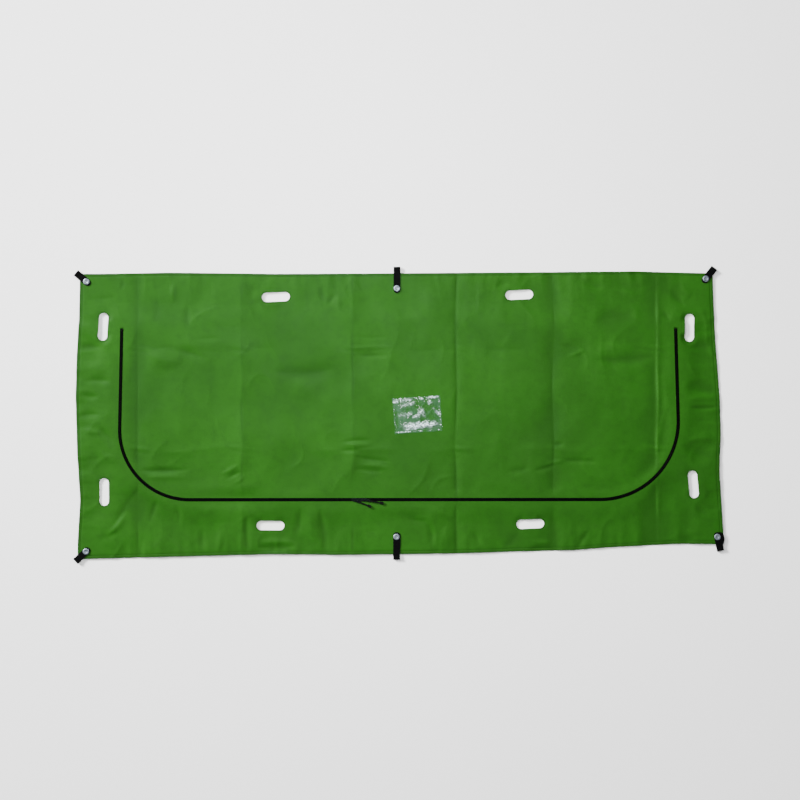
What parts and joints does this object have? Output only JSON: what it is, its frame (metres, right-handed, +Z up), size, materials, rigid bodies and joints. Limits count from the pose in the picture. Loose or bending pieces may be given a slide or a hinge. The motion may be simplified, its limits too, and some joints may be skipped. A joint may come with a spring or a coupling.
{
  "type": "zipped body bag",
  "caption": "Flat zipped body bag: a sheet pouch with a U-shaped zip flap, sliders with pulls, die-cut hand slots, riveted webbing loops and a clear card pocket.",
  "frame": {"origin": "on the floor, under the middle of the overall box of the bag with its loops", "axes": "+X along the bag's length, +Y across it towards the line where the flap folds, +Z up off the floor"},
  "size_m": [2.3378, 1.0698, 0.0154],
  "materials": {
    "green_pvc": "soft PVC sheet with a low sheen",
    "zip_tape": "black woven polyester tape",
    "zip_coil": "black moulded coil",
    "slider_metal": "black lacquered die casting",
    "pull_grip": "black moulded rubber",
    "webbing": "black woven webbing",
    "rivet": "bright plated pressing",
    "clear_film": "clear flexible film"
  },
  "bodies": {
    "bag": {"bottom_sheet": "green_pvc", "top_surround": "green_pvc", "outer_zip_tape": "zip_tape", "outer_zip_coil": "zip_coil", "left_end_stop": "zip_coil", "right_end_stop": "zip_coil", "top_left_rivet_cap": "rivet", "top_left_rivet_back": "rivet", "top_middle_rivet_cap": "rivet", "top_middle_rivet_back": "rivet", "top_right_rivet_cap": "rivet", "top_right_rivet_back": "rivet", "foot_left_rivet_cap": "rivet", "foot_left_rivet_back": "rivet", "foot_middle_rivet_cap": "rivet", "foot_middle_rivet_back": "rivet", "foot_right_rivet_cap": "rivet", "foot_right_rivet_back": "rivet"},
    "flap": {"flap_sheet": "green_pvc", "flap_fold_strip": "green_pvc", "inner_zip_tape": "zip_tape", "inner_zip_coil": "zip_coil", "card_pocket_film": "clear_film"},
    "left_slider": {"left_slider_body": "slider_metal", "left_slider_bridge": "slider_metal"},
    "left_pull": {"left_pull_tab": "slider_metal", "left_pull_grip": "pull_grip"},
    "right_slider": {"right_slider_body": "slider_metal", "right_slider_bridge": "slider_metal"},
    "right_pull": {"right_pull_tab": "slider_metal", "right_pull_grip": "pull_grip"},
    "top_left_swivel": {"top_left_loop": "webbing"},
    "top_middle_swivel": {"top_middle_loop": "webbing"},
    "top_right_swivel": {"top_right_loop": "webbing"},
    "foot_left_swivel": {"foot_left_loop": "webbing"},
    "foot_middle_swivel": {"foot_middle_loop": "webbing"},
    "foot_right_swivel": {"foot_right_loop": "webbing"}
  },
  "joints": [
    {"name": "flap_fold", "type": "hinge", "parent": "bag", "child": "flap", "pos_m": [0, 0.309, 0.0104], "axis": [-1, 0, 0], "range_deg": [0, 170], "deforming": ["flap_fold_strip", "inner_zip_tape", "inner_zip_coil"]},
    {"name": "left_slider_run", "type": "slide", "parent": "bag", "child": "left_slider", "axis": [-1, 0, 0], "range_m": [0, 0.58]},
    {"name": "right_slider_run", "type": "slide", "parent": "bag", "child": "right_slider", "axis": [1, 0, 0], "range_m": [0, 0.84]},
    {"name": "left_pull_lift", "type": "hinge", "parent": "left_slider", "child": "left_pull", "pos_m": [-0.1615, -0.304, 0.0132], "axis": [-0.3746, -0.9272, 0], "range_deg": [0, 175]},
    {"name": "right_pull_lift", "type": "hinge", "parent": "right_slider", "child": "right_pull", "pos_m": [-0.1205, -0.304, 0.0132], "axis": [-0.1908, -0.9816, 0], "range_deg": [0, 175]},
    {"name": "top_left_loop_turn", "type": "hinge", "parent": "bag", "child": "top_left_swivel", "pos_m": [-1.12, 0.479, 0.0046], "axis": [0, 0, 1], "range_deg": [-80, 70]},
    {"name": "top_middle_loop_turn", "type": "hinge", "parent": "bag", "child": "top_middle_swivel", "pos_m": [-0.005, 0.454, 0.0046], "axis": [0, 0, 1], "range_deg": [-35, 35]},
    {"name": "top_right_loop_turn", "type": "hinge", "parent": "bag", "child": "top_right_swivel", "pos_m": [1.104, 0.488, 0.0046], "axis": [0, 0, 1], "range_deg": [-80, 68]},
    {"name": "foot_left_loop_turn", "type": "hinge", "parent": "bag", "child": "foot_left_swivel", "pos_m": [-1.122, -0.49, 0.0046], "axis": [0, 0, 1], "range_deg": [-73, 77]},
    {"name": "foot_middle_loop_turn", "type": "hinge", "parent": "bag", "child": "foot_middle_swivel", "pos_m": [-0.007, -0.438, 0.0046], "axis": [0, 0, 1], "range_deg": [-26, 26]},
    {"name": "foot_right_loop_turn", "type": "hinge", "parent": "bag", "child": "foot_right_swivel", "pos_m": [1.145, -0.439, 0.0046], "axis": [0, 0, 1], "range_deg": [-43, 107]}
  ]
}
